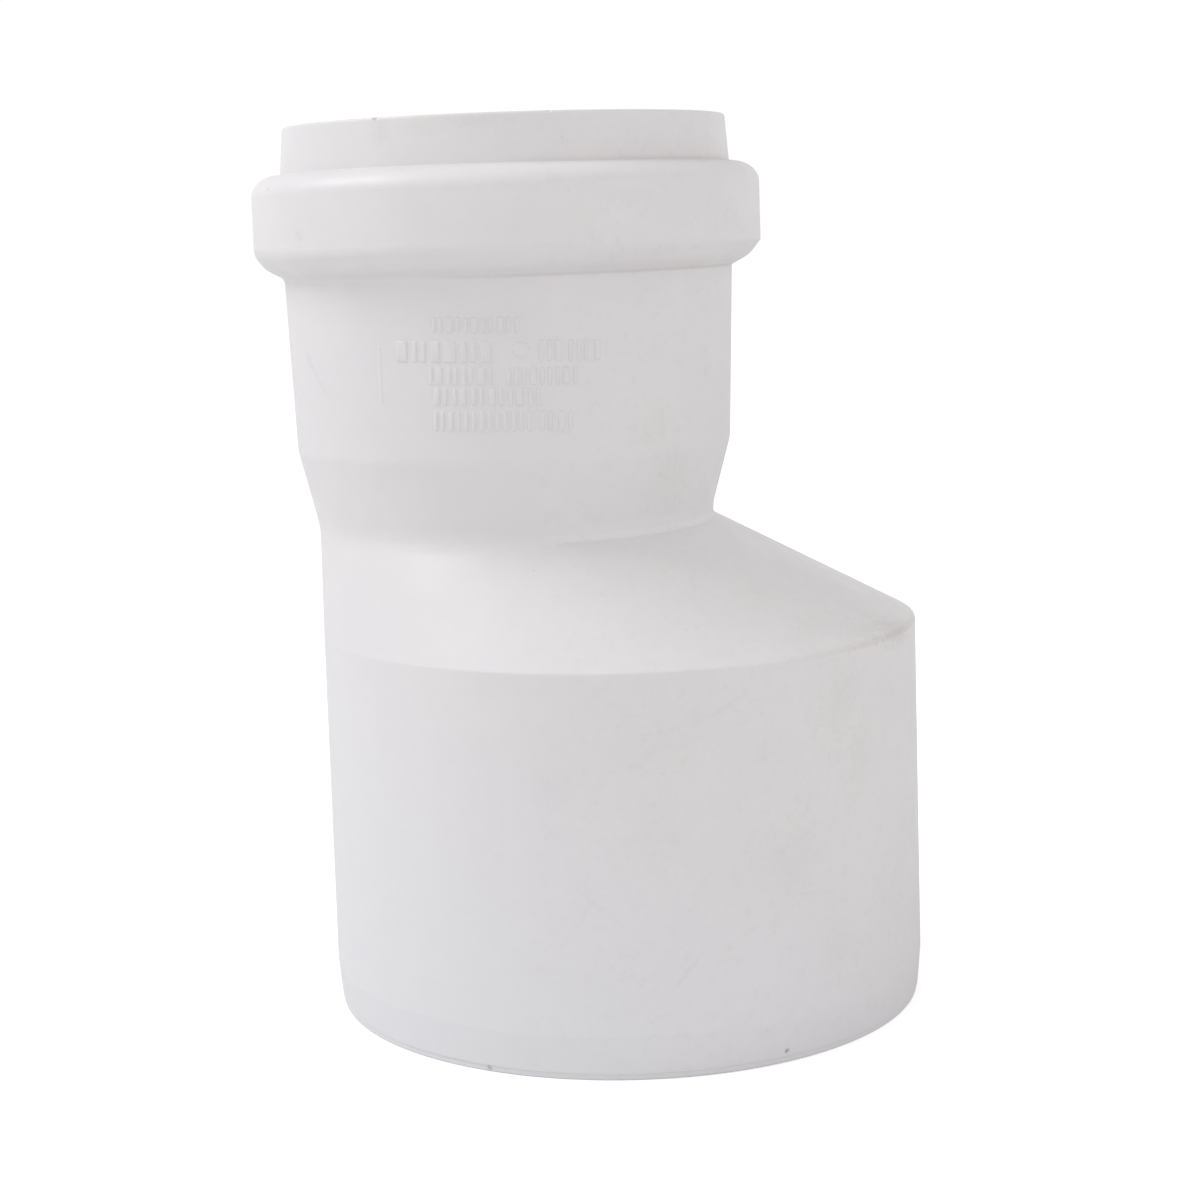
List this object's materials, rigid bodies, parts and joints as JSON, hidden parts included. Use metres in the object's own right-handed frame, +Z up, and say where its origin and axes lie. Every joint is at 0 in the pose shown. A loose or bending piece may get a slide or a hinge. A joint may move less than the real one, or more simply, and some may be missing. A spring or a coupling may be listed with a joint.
{
  "type": "eccentric reducer",
  "caption": "White PVC drain reducer with offset axes: a 75 mm spigot end and a 50 mm push-fit socket with a rubber sealing ring, flush along one side.",
  "frame": {"origin": "centre of the spigot's ring-shaped end face, on the spigot's axis", "axes": "+Z up the spigot's axis towards the socket; the socket's axis is parallel to it at x = -12.5 mm, so the -X side is the flush side and the cone overhangs towards +X; the XZ plane is the plane of symmetry"},
  "size_m": [0.0817, 0.075, 0.1106],
  "materials": {
    "white_pvc": "satin moulded uPVC",
    "black_rubber": "matt moulded elastomer"
  },
  "bodies": {
    "root": {"reducer_body": "white_pvc", "seal_ring": "black_rubber"}
  },
  "joints": []
}
